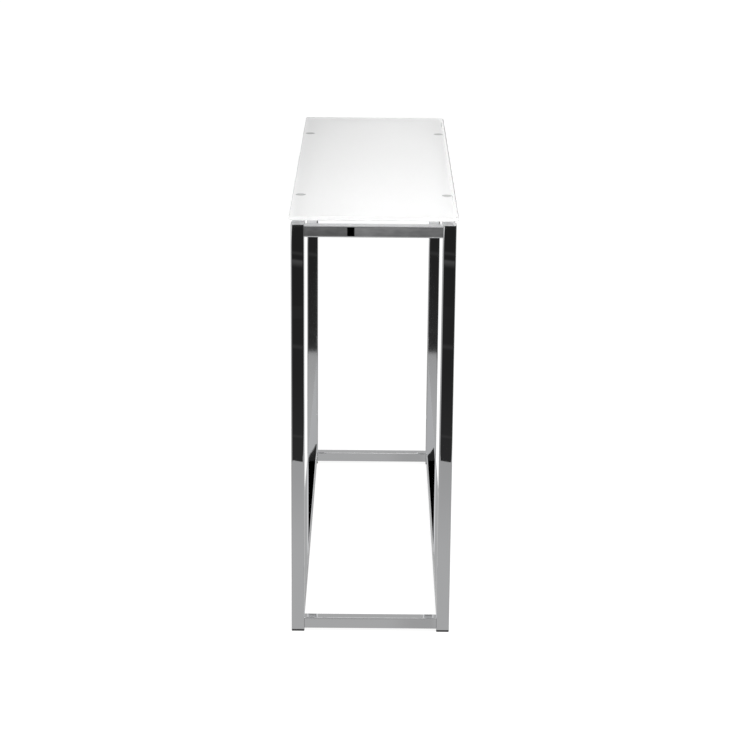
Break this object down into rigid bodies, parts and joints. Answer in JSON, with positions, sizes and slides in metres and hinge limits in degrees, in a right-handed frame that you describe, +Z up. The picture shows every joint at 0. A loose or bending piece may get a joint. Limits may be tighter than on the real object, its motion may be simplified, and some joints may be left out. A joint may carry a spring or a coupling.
{
  "type": "console table",
  "caption": "Narrow console table: a chromed square-tube cuboid frame carrying a frosted glass top on soft round pads.",
  "frame": {"origin": "on the floor, under the centre of the glass", "axes": "+X along the table to the right end, +Y to the rear, +Z up"},
  "size_m": [0.94, 0.289, 0.762],
  "materials": {
    "chrome": "bright chrome plating on steel tube, mirror smooth",
    "frosted_glass": "toughened glass, satin etched underneath, polished edge with a ground bevel",
    "soft_plastic": "soft translucent grey plastic, satin",
    "black_plastic": "black moulded plastic, fine matt texture",
    "steel": "zinc-plated steel, satin"
  },
  "bodies": {
    "root": {"leg_front_right": "chrome", "leg_rear_right": "chrome", "leg_front_left": "chrome", "leg_rear_left": "chrome", "leg_cap_front_right": "chrome", "leg_cap_rear_right": "chrome", "leg_cap_front_left": "chrome", "leg_cap_rear_left": "chrome", "foot_cap_front_right": "black_plastic", "foot_cap_rear_right": "black_plastic", "foot_cap_front_left": "black_plastic", "foot_cap_rear_left": "black_plastic", "end_rail_top_right": "chrome", "end_rail_top_left": "chrome", "end_rail_bottom_right": "chrome", "end_rail_bottom_left": "chrome", "long_rail_top_front": "chrome", "long_rail_top_rear": "chrome", "long_rail_bottom_front": "chrome", "long_rail_bottom_rear": "chrome", "spigot_top_front_right": "steel", "spigot_top_rear_right": "steel", "spigot_top_front_left": "steel", "spigot_top_rear_left": "steel", "spigot_bottom_front_right": "steel", "spigot_bottom_rear_right": "steel", "spigot_bottom_front_left": "steel", "spigot_bottom_rear_left": "steel", "joint_screws": "steel", "pad_front_right": "soft_plastic", "pad_rear_right": "soft_plastic", "pad_front_left": "soft_plastic", "pad_rear_left": "soft_plastic", "glass_top": "frosted_glass"}
  },
  "joints": []
}
